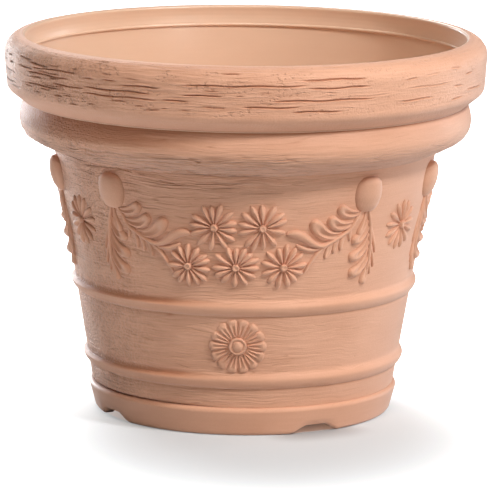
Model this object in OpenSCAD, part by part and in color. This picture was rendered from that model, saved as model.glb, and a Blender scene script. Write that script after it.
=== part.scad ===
// Round garden flower pot with a rolled rim, a stepped collar, two hoops, a notched foot
// and moulded festoons of daisies between knobs and acanthus leaves.
// The pot stands on the plane z = 0, centred on the z axis. A festoon faces -y.
// Radii of the turned pieces come from the rim inwards, and heights from the ground upwards.

/* [Turned body] */
// Outside diameter of the rim
rim_d = 500; // [470:2:560]
// Height of the foot ring, up to the seat of the wall
foot_h = 30; // [26:1:40]
// Height of the wall between the foot ring and the collar
wall_h = 245.6; // [235:0.2:300]
// Height of the collar and its neck, from the top of the wall to the groove under the rim
collar_h = 48.9; // [44:0.1:60]
// Height of the rolled rim, from the groove to the crest
rim_h = 67.5; // [60:0.5:80]
// How far the rim stands out from the groove
rim_step = 20; // [16:0.5:26]
// How deep the groove cuts in behind the widest part of the collar
groove_depth = 4.5; // [3:0.1:6]
// How far the collar stands out from the top of the wall
collar_step = 35.9; // [32:0.1:40]
// How much narrower the wall is at the foot than at the collar, on the radius
wall_lean = 41.5; // [25:0.5:50]
// Thickness of the wall
wall_t = 5; // [3:0.5:8]

/* [Rolled rim] */
// Thickness of the rim's outer skin
skin_t = 4; // [3:0.25:5]
// Radius of the rounding on the rim's outer top edge
rim_round = 18; // [14:0.5:19]
// Radius of the rounding on the crest's inner edge
crest_round = 3; // [2:0.25:4]
// Slope of the rim's underside, in degrees above level
rim_under_slope = 38; // [30:1:45]
// Radius of the rounding at the rim's lower outer edge
rim_under_round = 10; // [6:0.5:12]
// How far the outer face leans in from its widest line to its lower edge
rim_face_lean = 2; // [0:0.25:3]
// Distance from the crest down to the neck that carries the rim
neck_drop = 22.5; // [20:0.5:26]
// Thickness of the neck inside the rim
neck_t = 5; // [4:0.25:6]
// How far the neck leans out from the groove to its top
neck_lean = 5.2; // [3:0.1:6]
// How far the rim's inner lip stands in from the neck
lip_reach = 2.9; // [1.5:0.1:4]
// Thickness of the inner lip
lip_t = 3; // [2:0.25:4]
// How far the band between the lip and the crest is hollowed
band_hollow = 1.2; // [0.5:0.1:2]

/* [Collar] */
// Slope of the collar's underside, in degrees above level
collar_slope = 25.8; // [18:0.2:32]
// Height of the collar's widest line above the wall
collar_belly = 30.4; // [28:0.2:34]
// Radius of the bend from the underside to the widest line
collar_round = 21; // [17:0.5:24]

/* [Hoops] */
// Height of the lower hoop's crest above the foot ring
lower_hoop_stand = 30.5; // [26:0.5:36]
// How far a hoop stands out from the wall
hoop_rise = 4.7; // [3:0.1:6]
// Length of a hoop's slope above its crest
hoop_above = 14.5; // [10:0.5:18]
// Length of a hoop's shoulder below its crest
hoop_below = 12; // [8:0.5:14]

/* [Foot and floor] */
// How far the foot ring stands out from the wall
foot_ledge = 3.1; // [2:0.1:5]
// How far the foot ring narrows from its widest line to the ground
foot_tuck = 5.5; // [3:0.1:7]
// Radius of the rounding where the foot meets the ground
foot_round = 6; // [3:0.25:7]
// Width of the foot ring's tread on the ground
tread_w = 12; // [9:0.5:16]
// Height of the floor's underside above the ground
recess_h = 12; // [10:0.5:14]
// Thickness of the floor
floor_t = 5; // [3:0.5:7]
// Radial play between the floor and the foot ring
floor_play = 0.1; // [0.05:0.05:0.4]
// Number of drain notches in the foot ring
notch_count = 4; // [2:1:6]
// Bearing of the first drain notch from the front
notch_bearing = 31.5; // [0:0.5:90]
// Width of a drain notch at the ground
notch_w = 55; // [40:1:60]
// Height of a drain notch
notch_h = 8; // [5:0.5:9]
// Length of a notch's sloping end
notch_slope = 9; // [5:0.5:12]
// Diameter of the drain hole in the middle of the floor
middle_drain_d = 25; // [15:1:40]
// Diameter of each drain hole around the middle
outer_drain_d = 15; // [10:1:20]
// Number of drain holes around the middle
outer_drain_count = 4; // [3:1:8]
// Diameter of the circle of drain holes
drain_circle_d = 140; // [100:2:200]

/* [Festoons] */
// Number of festoons round the pot
festoon_count = 3; // [2:1:3]
// Angle from the middle of a festoon to each knob
knob_bearing = 42; // [38:0.5:44]
// Play between the back of a moulded ornament and the body
seat_play = 0.2; // [0.15:0.05:0.5]
// Least distance between neighbouring ornaments
ornament_gap = 0.3; // [0.2:0.1:1]
// Radius of a daisy, to the tips of its petals
daisy_r = 24.2; // [20:0.1:25]
// Number of petals on a daisy
daisy_petals = 13; // [9:1:15]
// Height of a daisy petal's ridge
daisy_rise = 3.4; // [2:0.1:5]
// Radius of a daisy's button
button_r = 4; // [3:0.1:5]
// Height of a daisy's button
button_rise = 4.4; // [3:0.1:6]
// Radius at which daisy petals part from each other
daisy_part_r = 10.5; // [8:0.1:13]
// Distance from the middle of a knob down to the middles of the lower daisies
festoon_drop = 70.4; // [60:0.2:80]
// Clear height between the lower daisies and the upper hoop
festoon_clear = 2.5; // [1:0.1:5]
// Height of the single daisies above the crest of the upper hoop
bay_daisy_rise = 73; // [60:0.5:80]
// Height of a daisy petal's foot at the button
petal_foot = 1.4; // [1:0.1:2]

/* [Knobs and leaves] */
// Width of a knob
knob_w = 31; // [26:0.5:34]
// Height of a knob up the wall
knob_h = 37; // [32:0.5:40]
// How far a knob stands out
knob_rise = 10; // [6:0.25:12]
// Distance from the top of a knob to the collar
knob_clear = 7.1; // [4:0.1:9]
// Width of a leaf's spine
spine_w = 5; // [4:0.25:7]
// Height of a leaf's lobes
leaf_rise = 3.6; // [2.5:0.1:5]
// Width of a leaf's large lobes
lobe_w = 14; // [9:0.25:15]
// Length of a leaf's large lobes
lobe_l = 28; // [20:0.5:30]
// Width of the small fingers under a leaf
finger_w = 5; // [4:0.25:7]
// Length of the small fingers under a leaf
finger_l = 14; // [8:0.5:16]
// How much higher each leaf of a group lies than the one beside it
leaf_lift = 0.05; // [0.02:0.01:0.1]
// Width of the stems between a leaf and the daisies
stem_w = 7; // [5:0.25:9]
// Distance of a leaf's fork from the lower daisy beside it
fork_stand = 12.7; // [8:0.1:16]
// Length of the drop that hangs below a knob
drop_l = 73; // [60:1:80]
// Half width of a drop at its lobes
drop_reach = 17; // [13:0.5:20]

/* [Rosettes] */
// Radius of a rosette, to the tips of its petals
rosette_r = 29.5; // [24:0.25:31]
// Number of petals on a rosette
rosette_petals = 14; // [10:1:16]
// Height of a rosette petal's raised edge
rosette_rise = 3.2; // [2:0.1:5]
// Outer radius of the ring round a rosette's button
rosette_ring_r = 10.5; // [9:0.25:12]
// Radius of a rosette's button
rosette_button_r = 6; // [4:0.25:7]
// Height of a rosette's button
rosette_button_rise = 4.4; // [3:0.1:6]
// Clear height between the upper hoop and a rosette
rosette_clear = 0.8; // [0.3:0.1:3]

/* [Hidden] */
terracotta = [0.82, 0.58, 0.46];
turned_fn = 180;
// Vertices on a rounding, and rows on a curved slope
round_steps = 8;
slope_steps = 10;

// Heights of the seats
shoulder_z = foot_h + wall_h;
groove_z = shoulder_z + collar_h;
crest_z = groove_z + rim_h;
belly_z = shoulder_z + collar_belly;
neck_z = crest_z - neck_drop;
floor_z = recess_h + floor_t;
knob_z = shoulder_z - knob_clear - knob_h / 2;
row_z = knob_z - festoon_drop;
upper_hoop_z = row_z - daisy_r - festoon_clear - hoop_above;
lower_hoop_z = foot_h + lower_hoop_stand;

// Radii of the turned pieces
rim_r = rim_d / 2;
groove_r = rim_r - rim_step;
collar_r = groove_r + groove_depth;
wall_top_r = collar_r - collar_step;
wall_foot_r = wall_top_r - wall_lean;
foot_r = wall_foot_r + foot_ledge;
neck_foot_r = groove_r - neck_t;
neck_top_r = neck_foot_r + neck_lean;
lip_r = neck_top_r - lip_reach;
wall_slope = wall_lean / wall_h;

// Radius of the plain wall, and of the wall with its hoops, at a height
function wall_r(z) = wall_foot_r + (z - foot_h) * wall_slope;
function hoop_bulge(d) =
    d >= hoop_above || d <= -hoop_below ? 0 :
    d > 0 ? hoop_rise * pow(cos(90 * d / hoop_above), 2) :
    hoop_rise * (1 - pow(-d / hoop_below, 2.4));
function body_r(z) = wall_r(z) + hoop_bulge(z - upper_hoop_z) + hoop_bulge(z - lower_hoop_z);

function arc(c, r, from, to, n) =
    [for (i = [0:n]) let (a = from + (to - from) * i / n) c + r * [cos(a), sin(a)]];
function degrees_of(length, r) = length / r * 180 / PI;
function arc_of(angle, r) = angle * PI / 180 * r;

// Shares of a petal's turn at which its gap, edge, middle and other edge stand
petal_shares = [0, 0.17, 0.5, 0.83];
even_shares = [0, 0.25, 0.5, 0.75];

// Bearings of the ornaments
festoon_turn = 360 / festoon_count;
daisy_pitch = 2 * daisy_r + ornament_gap;
upper_row_z = row_z + daisy_pitch * sqrt(3) / 2 * cos(atan(wall_slope));
row_turn = degrees_of(daisy_pitch, wall_r(row_z));
upper_turn = degrees_of(daisy_pitch, wall_r(upper_row_z)) / 2;
bay_z = upper_hoop_z + bay_daisy_rise;
rosette_z = upper_hoop_z - hoop_below - rosette_clear - rosette_r;
// Places of a festoon's five daisies: bearing from its middle, and height
daisy_places = [
    [-upper_turn, upper_row_z], [upper_turn, upper_row_z],
    [-row_turn, row_z], [0, row_z], [row_turn, row_z]
];
daisy_names = ["upper_left", "upper_right", "lower_left", "lower_middle", "lower_right"];
side_names = ["left", "right"];

// Places in a knob's frame, with u towards the middle of the festoon and v up the wall
function dir(a) = [cos(a), sin(a)];
function between(p, q, u, v) = [p[0] + (q[0] - p[0]) * u, p[1] + (q[1] - p[1]) * v];
function from_knob(turn, z) = [arc_of(knob_bearing - turn, wall_r(z)), z - knob_z];
upper_daisy = from_knob(upper_turn, upper_row_z);
lower_daisy = from_knob(row_turn, row_z);
daisy_reach = daisy_r + 2 * ornament_gap;
// Bearings about a knob or a daisy at which the leaf and its stems meet it
root_at = -65;
fork_at = 152;
upper_stem_at = 195;
lower_stem_at = 97;
tail_at = 184;
knob_reach = [knob_w / 2 + 2 * ornament_gap, knob_h / 2 + 2 * ornament_gap];
leaf_root = [knob_reach[0] * cos(root_at), knob_reach[1] * sin(root_at)];
leaf_fork = lower_daisy + (daisy_r + fork_stand) * dir(fork_at);
leaf_spine = [
    leaf_root, between(leaf_root, leaf_fork, 0.09, 0.59), between(leaf_root, leaf_fork, 0.56, 0.8), leaf_fork
];
drop_top = -knob_h / 2 - ornament_gap;
neck_tilt = (neck_top_r + neck_t - groove_r) / (neck_z - groove_z);
function neck_outside_r(z) = groove_r + (z - groove_z) * neck_tilt;

// Node names, one for each festoon, bay and side
turned_nodes = [
    "wall", "collar", "neck", "rim_cap", "upper_hoop", "lower_hoop", "foot_ring", "floor_plate"
];
function daisy_node(f, i) = str("daisy_", f + 1, "_", daisy_names[i]);
function bay_node(f) = str("bay_daisy_", f + 1);
function rosette_node(f) = str("rosette_", f + 1);
function sided_node(kind, f, s) = str(kind, "_", f + 1, "_", side_names[s]);

// Point on the body: frame is [bearing, height, side], u runs along the wall, v up it, h out of it
function on_body(frame, u, v, h) =
    let (z = frame[1] + v, r = body_r(z), a = frame[0] + frame[2] * degrees_of(u, r))
    [(r + seat_play + h) * sin(a), -(r + seat_play + h) * cos(a), z];

module turned(profile) {
    rotate_extrude($fn = turned_fn) polygon(profile);
}

module wall() {
    color(terracotta) turned([
        [wall_foot_r, foot_h], [wall_top_r, shoulder_z],
        [wall_top_r - wall_t, shoulder_z], [wall_foot_r - wall_t, foot_h]
    ]);
}

module hoop(z) {
    last = 2 * slope_steps;
    rows = [for (i = [0:last]) z - hoop_below + (hoop_below + hoop_above) * i / last];
    color(terracotta) turned([for (y = rows) [wall_r(y) + hoop_bulge(y - z), y]]);
}

module upper_hoop() {
    hoop(upper_hoop_z);
}

module lower_hoop() {
    hoop(lower_hoop_z);
}

// The collar leaves the wall at a slope and bends up to its widest line
module collar() {
    inner_round = collar_round - neck_t;
    color(terracotta) turned(concat(
        [[wall_top_r, shoulder_z]],
        arc([collar_r - collar_round, belly_z], collar_round, collar_slope - 90, 0, round_steps),
        [[neck_foot_r, belly_z]],
        arc([neck_foot_r - inner_round, belly_z - neck_t], inner_round, 0, collar_slope - 90, round_steps),
        [[wall_top_r - wall_t, shoulder_z + wall_t * tan(collar_slope)], [wall_top_r - wall_t, shoulder_z]]
    ));
}

// The neck closes in from the collar's widest line to the groove, and leans out inside the rim
module neck() {
    closing_h = groove_z - belly_z;
    closing_r = (pow(groove_depth, 2) + pow(closing_h, 2)) / (2 * groove_depth);
    color(terracotta) turned(concat(
        arc([collar_r - closing_r, belly_z], closing_r, 0, asin(closing_h / closing_r), round_steps),
        [[neck_top_r + neck_t, neck_z], [neck_top_r, neck_z], [neck_foot_r, groove_z], [neck_foot_r, belly_z]]
    ));
}

// A hollow cap that closes on the neck at the groove below and on the neck's top edge above
module rim_cap() {
    shoulder = [rim_r - rim_round, crest_z - rim_round];
    under_x = rim_r - rim_face_lean - rim_under_round;
    under_z = groove_z + (under_x + rim_under_round * sin(rim_under_slope) - groove_r) * tan(rim_under_slope)
        + rim_under_round * cos(rim_under_slope);
    flange_h = skin_t / cos(rim_under_slope);
    crest = [shoulder[0], crest_z - crest_round];
    lip = [lip_r + lip_t / 2, neck_z + lip_t / 2];
    // Angles at which the crest and the lip turn into the hollow band between them
    crest_turn = 170;
    lip_turn = 75;
    band_foot = lip + lip_t / 2 * dir(lip_turn);
    band_top = crest + crest_round * dir(crest_turn);
    color(terracotta) turned(concat(
        [[groove_r, groove_z]],
        arc([under_x, under_z], rim_under_round, rim_under_slope - 90, 0, round_steps),
        arc(shoulder, rim_round, 0, 90, round_steps),
        arc(crest, crest_round, 110, crest_turn, 3),
        [for (t = [0.25:0.25:0.75]) band_top * (1 - t) + band_foot * t + [band_hollow * sin(180 * t), 0]],
        arc(lip, lip_t / 2, lip_turn, 270, round_steps),
        [[neck_top_r, neck_z], [neck_top_r + neck_t, neck_z], [neck_top_r + neck_t, crest_z - rim_round / 2]],
        arc(shoulder, rim_round - skin_t, 72, 0, round_steps),
        arc([under_x, under_z], rim_under_round - skin_t, 0, rim_under_slope - 90, round_steps),
        [[neck_outside_r(groove_z + flange_h), groove_z + flange_h]]
    ));
}

module foot_ring() {
    inner_r = wall_r(floor_z) - wall_t;
    recess_r = foot_r - foot_tuck - tread_w;
    top_round = foot_ledge;
    color(terracotta) difference() {
        turned(concat(
            [[recess_r, 0]],
            arc([foot_r - foot_tuck - foot_round, foot_round], foot_round, -90, -20, round_steps),
            arc([foot_r - top_round, foot_h - top_round], top_round, 0, 90, round_steps),
            [[wall_foot_r - wall_t, foot_h], [inner_r, floor_z], [inner_r, recess_h], [recess_r, recess_h]]
        ));
        for (i = [0:notch_count - 1]) rotate(notch_bearing + i * 360 / notch_count) drain_notch();
    }
}

// A low cut through the foot ring towards the front, with sloping ends
module drain_notch() {
    translate([0, 0, -1]) rotate([90, 0, 0]) linear_extrude(2 * foot_r) polygon([
        [-notch_w / 2, 0], [notch_w / 2, 0], [notch_w / 2, 1],
        [notch_w / 2 - notch_slope, notch_h + 1], [notch_slope - notch_w / 2, notch_h + 1], [-notch_w / 2, 1]
    ]);
}

module floor_plate() {
    color(terracotta) difference() {
        translate([0, 0, recess_h])
            cylinder(h = floor_t, r = wall_r(floor_z) - wall_t - floor_play, $fn = turned_fn);
        translate([0, 0, recess_h - 1]) cylinder(h = floor_t + 2, d = middle_drain_d, $fn = 48);
        for (i = [0:outer_drain_count - 1])
            rotate(45 + i * 360 / outer_drain_count)
                translate([drain_circle_d / 2, 0, recess_h - 1])
                    cylinder(h = floor_t + 2, d = outer_drain_d, $fn = 48);
    }
}

// Closed relief that spreads from a point on the body. Each petal has four columns, which stand at
// shares of the petal's turn. A column is a list of [radius, height] from the middle outwards, which
// ends on the body at height 0. The back follows the body on rings from back_r inwards. Lengths up the
// wall are stretched by tall.
module spread_relief(frame, petals, start, shares, columns, apex, back_r, back_rings, tall) {
    count = 4 * petals;
    rings = len(columns[0]);
    turn = 360 / petals;
    function column_at(k) = start + turn * (floor(k / 4) + shares[k % 4]);
    function spot(a, r, h) = on_body(frame, r * cos(a), r * sin(a) * tall, h);
    top = [for (j = [0:rings - 1], k = [0:count - 1])
        let (at = columns[k % 4][j]) spot(column_at(k), at[0], at[1])];
    back = [for (j = [0:back_rings - 1], k = [0:count - 1])
        spot(column_at(k), back_r * (1 - j / back_rings), 0)];
    all_rings = rings + back_rings;
    middle = count * all_rings;
    under = middle + 1;
    last = count * (all_rings - 1);
    function next(k) = (k + 1) % count;
    polyhedron(
        points = concat(top, back, [spot(0, 0, apex), spot(0, 0, 0)]),
        faces = concat(
            [for (k = [0:count - 1]) [middle, next(k), k]],
            [for (j = [0:all_rings - 2], k = [0:count - 1]) each [
                [j * count + k, j * count + next(k), (j + 1) * count + k],
                [j * count + next(k), (j + 1) * count + next(k), (j + 1) * count + k]
            ]],
            [for (k = [0:count - 1]) [under, last + k, last + next(k)]]
        )
    );
}

// Closed relief along a curve in the frame, with its half widths and heights from tapers. It starts at
// the share root of its width and is widest at the share tip of its length.
module ribbon_relief(frame, path, width, rise, tip, rows, lift, root = 0.35) {
    across = [-1, -0.6, 0, 0.6, 1];
    swell = [0, 0.8, 1, 0.8, 0];
    turned_over = frame[2] < 0;
    points = [for (i = [0:rows]) let (
        t = i / rows,
        c = curve(path, t),
        d = curve(path, t + 0.01) - curve(path, t - 0.01),
        n = [-d[1], d[0]] / norm(d),
        w = width / 2 * taper(t, tip, root),
        h = rise * (0.35 + 0.65 * taper(t, 0.3, 0.35))
    ) for (j = [0:4]) let (q = c + n * w * across[j]) on_body(frame, q[0], q[1], lift + h * swell[j])];
    faces = concat(
        [for (i = [0:rows - 1], j = [0:3]) let (k = 5 * i + j) each
            [[k, k + 1, k + 5], [k + 1, k + 6, k + 5]]],
        [for (i = [0:rows - 1]) let (k = 5 * i) each [[k, k + 5, k + 4], [k + 5, k + 9, k + 4]]],
        [for (j = [1:3]) [0, j + 1, j]],
        [for (j = [1:3]) [5 * rows, 5 * rows + j, 5 * rows + j + 1]]
    );
    polyhedron(points, [for (f = faces) turned_over ? [f[2], f[1], f[0]] : f]);
}

// Share of the full width at t along a ribbon: it swells from root to its full width at tip, then rounds off
function taper(t, tip, root) =
    t < tip ? root + (1 - root) * sin(90 * t / tip) : 0.3 + 0.7 * cos(90 * (t - tip) / (1 - tip));
// Point at t on a curve through two ends, drawn by one or two guide points
function curve(p, t) = len(p) == 3 ?
    p[0] * pow(1 - t, 2) + p[1] * 2 * t * (1 - t) + p[2] * t * t :
    p[0] * pow(1 - t, 3) + p[1] * 3 * t * pow(1 - t, 2) + p[2] * 3 * t * t * (1 - t) + p[3] * pow(t, 3);

module daisy(bearing, z) {
    valley = [[button_r, petal_foot], [daisy_part_r * 0.8, petal_foot / 2], [daisy_part_r, 0]];
    edge = [[button_r, petal_foot], [daisy_r * 0.8, daisy_rise * 0.45], [daisy_r * 0.94, 0]];
    ridge = [[button_r, petal_foot * 1.4], [daisy_r * 0.84, daisy_rise], [daisy_r, 0]];
    color(terracotta) spread_relief([bearing, z, 1], daisy_petals, 90 - 180 / daisy_petals, petal_shares,
        [valley, edge, ridge, edge], button_rise, daisy_part_r * 0.9, 1, 1);
}

module rosette(bearing) {
    ring_w = rosette_ring_r - rosette_button_r;
    centre = [
        [rosette_button_r, rosette_button_rise * 0.9], [rosette_button_r + ring_w * 0.2, rosette_rise / 2],
        [rosette_button_r + ring_w / 2, rosette_rise], [rosette_ring_r, rosette_rise * 0.94],
        [rosette_ring_r + ring_w * 0.26, rosette_rise * 0.3]
    ];
    tip_r = rosette_r * 0.86;
    gap = concat(centre, [
        [tip_r, rosette_rise * 0.16], [rosette_r * 0.9, rosette_rise * 0.06], [rosette_r * 0.91, 0]
    ]);
    edge = concat(centre, [[tip_r * 0.9, rosette_rise], [tip_r, rosette_rise], [rosette_r * 0.96, 0]]);
    slot = concat(centre, [[tip_r * 0.9, rosette_rise / 4], [tip_r * 1.03, rosette_rise], [rosette_r, 0]]);
    color(terracotta) spread_relief([bearing, rosette_z, 1], rosette_petals, 90, petal_shares,
        [gap, edge, slot, edge], rosette_button_rise, rosette_r * 0.88, 8, 1);
}

module knob(bearing) {
    side = [
        [knob_w * 0.2, knob_rise * 0.93], [knob_w * 0.36, knob_rise * 0.72],
        [knob_w * 0.46, knob_rise * 0.4], [knob_w / 2, 0]
    ];
    color(terracotta) spread_relief([bearing, knob_z, 1], 4, 0, even_shares,
        [side, side, side, side], knob_rise, knob_w * 0.3, 1, knob_h / knob_w);
}

// A leaf that runs from a knob to the daisies: spine, lobes above, fingers below, and three stems
module leaf_spray(frame) {
    upper_start = curve(leaf_spine, 0.7);
    upper_end = upper_daisy + daisy_reach * dir(upper_stem_at);
    upper_run = upper_end[0] - upper_start[0];
    lower_start = curve(leaf_spine, 0.9);
    lower_end = lower_daisy + daisy_reach * dir(lower_stem_at);
    lower_run = lower_end[0] - lower_start[0];
    tail_end = lower_daisy + daisy_reach * dir(tail_at);
    color(terracotta) union() {
        ribbon_relief(frame, leaf_spine, spine_w, leaf_rise * 0.8, 0.3, 7, 0);
        for (i = [0:2]) {
            base = curve(leaf_spine, 0.15 + 0.21 * i);
            lobe = [base, base + lobe_l * 0.55 * dir(-6), base + lobe_l * dir(21)];
            ribbon_relief(frame, lobe, lobe_w, leaf_rise, 0.6, 5, 2 * leaf_lift, 0.95);
        }
        for (i = [0:2]) {
            base = curve(leaf_spine, 0.42 + 0.17 * i);
            finger = [base, base + finger_l / 2 * dir(-95), base + finger_l * dir(-76)];
            ribbon_relief(frame, finger, finger_w, leaf_rise * 0.6, 0.6, 4, 4 * leaf_lift);
        }
        upper_stem = [
            upper_start, upper_start + upper_run * [0.39, -0.2],
            upper_end + upper_run * [-0.39, 0.04], upper_end
        ];
        ribbon_relief(frame, upper_stem, stem_w, leaf_rise, 0.5, 7, 3 * leaf_lift);
        lower_stem = [
            lower_start, lower_start + lower_run * [0.4, 0.06],
            lower_end + lower_run * [-0.27, 0.06], lower_end
        ];
        ribbon_relief(frame, lower_stem, stem_w * 0.7, leaf_rise * 0.8, 0.4, 5, 5 * leaf_lift);
        ribbon_relief(frame, [lower_start, between(lower_start, tail_end, 0.55, 0.35), tail_end],
            stem_w * 0.7, leaf_rise * 0.7, 0.4, 4, 6 * leaf_lift);
    }
}

// A pendant of leaves below a knob: a straight spine with four lobes on each side
module leaf_drop(frame) {
    reach = drop_reach * [0.75, 1, 1, 0.55];
    color(terracotta) union() {
        ribbon_relief(frame, [[0, drop_top], [0, drop_top - drop_l / 2], [0, drop_top - drop_l]],
            spine_w * 1.4, leaf_rise, 0.5, 6, 0);
        for (i = [0:3]) for (side = [-1, 1]) {
            base = [0, drop_top - drop_l * (0.16 + 0.19 * i)];
            guide = base + [side * reach[i] * 0.9, -drop_l * 0.05];
            tip = base + [side * reach[i] * 0.82, -drop_l * 0.25];
            lift = (2 + i) * leaf_lift;
            ribbon_relief(frame, [base, guide, tip], lobe_w * 0.75, leaf_rise * 0.85, 0.65, 4, lift);
        }
    }
}

wall();
collar();
neck();
rim_cap();
upper_hoop();
lower_hoop();
foot_ring();
floor_plate();
for (f = [0:festoon_count - 1]) {
    middle = f * festoon_turn;
    for (i = [0:4])
        daisy(middle + daisy_places[i][0], daisy_places[i][1]);
    daisy(middle + festoon_turn / 2, bay_z);
    rosette(middle);
    for (s = [0:1]) {
        side = 2 * s - 1;
        bearing = middle + side * knob_bearing;
        knob(bearing);
        leaf_spray([bearing, knob_z, -side]);
        leaf_drop([bearing, knob_z, -side]);
    }
}
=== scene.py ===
"""Looks of the terracotta-coloured garden pot: a rolled, hewn rim, a stepped collar, a brushed wall
with two hoops, a notched foot, and festoons of daisies between knobs and acanthus leaves."""
import random
from collections import namedtuple
from math import asin, cos, degrees, dist, hypot, pi, radians, sin, sqrt, tan, tau

import bmesh
import bpy
from mathutils import Matrix, Vector


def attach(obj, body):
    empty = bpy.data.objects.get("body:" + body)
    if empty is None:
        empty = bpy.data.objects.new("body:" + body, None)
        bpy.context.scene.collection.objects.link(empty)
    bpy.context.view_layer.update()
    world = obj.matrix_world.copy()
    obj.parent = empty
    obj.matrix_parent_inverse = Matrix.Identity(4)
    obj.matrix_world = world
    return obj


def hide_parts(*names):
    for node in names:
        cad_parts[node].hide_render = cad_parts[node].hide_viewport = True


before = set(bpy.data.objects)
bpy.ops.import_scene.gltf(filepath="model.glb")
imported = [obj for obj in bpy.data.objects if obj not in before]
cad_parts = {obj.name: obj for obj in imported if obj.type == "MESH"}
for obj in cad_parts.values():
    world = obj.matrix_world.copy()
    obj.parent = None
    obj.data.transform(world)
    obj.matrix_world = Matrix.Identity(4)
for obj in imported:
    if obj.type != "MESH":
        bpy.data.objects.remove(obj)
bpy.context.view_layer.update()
scene = bpy.context.scene

MM = 0.001

# Sizes of the turned body, in millimetres: the solids' own, but for the hoops and the notches' ends,
# which are fitted closer to the photograph
RIM_R = 250
GROOVE_R = 230
COLLAR_R = 234.5
WALL_TOP_R = 198.6
WALL_FOOT_R = 157.1
FOOT_R = 160.2
NECK_FOOT_R = 225
NECK_TOP_R = 230.2
LIP_R = 227.3
WALL_T = 5
NECK_T = 5
LIP_T = 3
RIM_ROUND = 18
CREST_ROUND = 3
UNDER_ROUND = 10
UNDER_SLOPE = 38
FACE_LEAN = 2
BAND_HOLLOW = 1.2
COLLAR_ROUND = 21
COLLAR_SLOPE = 25.8
FOOT_TUCK = 5.5
FOOT_ROUND = 6
FOOT_EDGE = 4.6
TREAD_W = 12
RECESS_Z = 12
FLOOR_Z = 17
FOOT_Z = 30
SHOULDER_Z = 275.6
BELLY_Z = 306
GROOVE_Z = 324.5
NECK_Z = 369.5
CREST_Z = 392
HOOPS_Z = (136.6, 59.4)
HOOP_RISE = 4.7
HOOP_ABOVE = 10
HOOP_BELOW = 9.5
HOOP_BEND = 1.9
CREASE_UP = 5
CREASE_HALF = 4.5
NOTCH_BEARING = 31.5
NOTCH_HALF = 28.5
NOTCH_SLOPE = 19
NOTCH_H = 8
NOTCH_FADE = 14
CRACK_LIP_RISE = 0.35
CRACK_LIP_HALF = 0.8
WALL_SLOPE = (WALL_TOP_R - WALL_FOOT_R) / (SHOULDER_Z - FOOT_Z)

# Places of the ornaments: bearings in degrees from the front, heights in millimetres
FESTOON_TURN = 120
KNOB_BEARING = 42
KNOB_Z = 250
UPPER_TURN = 7.37
UPPER_ROW_Z = 221.2
ROW_TURN = 15.33
ROW_Z = 179.6
BAY_Z = 211.4
BAY_R = 26.5
ROSETTE_Z = 96.1
ROSETTE_R = 29.4


class Wire:
    """A socket in a node tree that takes part in sums."""

    def __init__(self, plan, socket):
        self.plan, self.socket = plan, socket

    def __add__(self, other): return self.plan.math("ADD", self, other)
    def __sub__(self, other): return self.plan.math("SUBTRACT", self, other)
    def __rsub__(self, other): return self.plan.math("SUBTRACT", other, self)
    def __mul__(self, other): return self.plan.math("MULTIPLY", self, other)
    def __truediv__(self, other): return self.plan.math("DIVIDE", self, other)
    def __pow__(self, other): return self.plan.math("POWER", self, other)
    def __abs__(self): return self.plan.math("ABSOLUTE", self)

    __radd__, __rmul__ = __add__, __mul__


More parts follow.
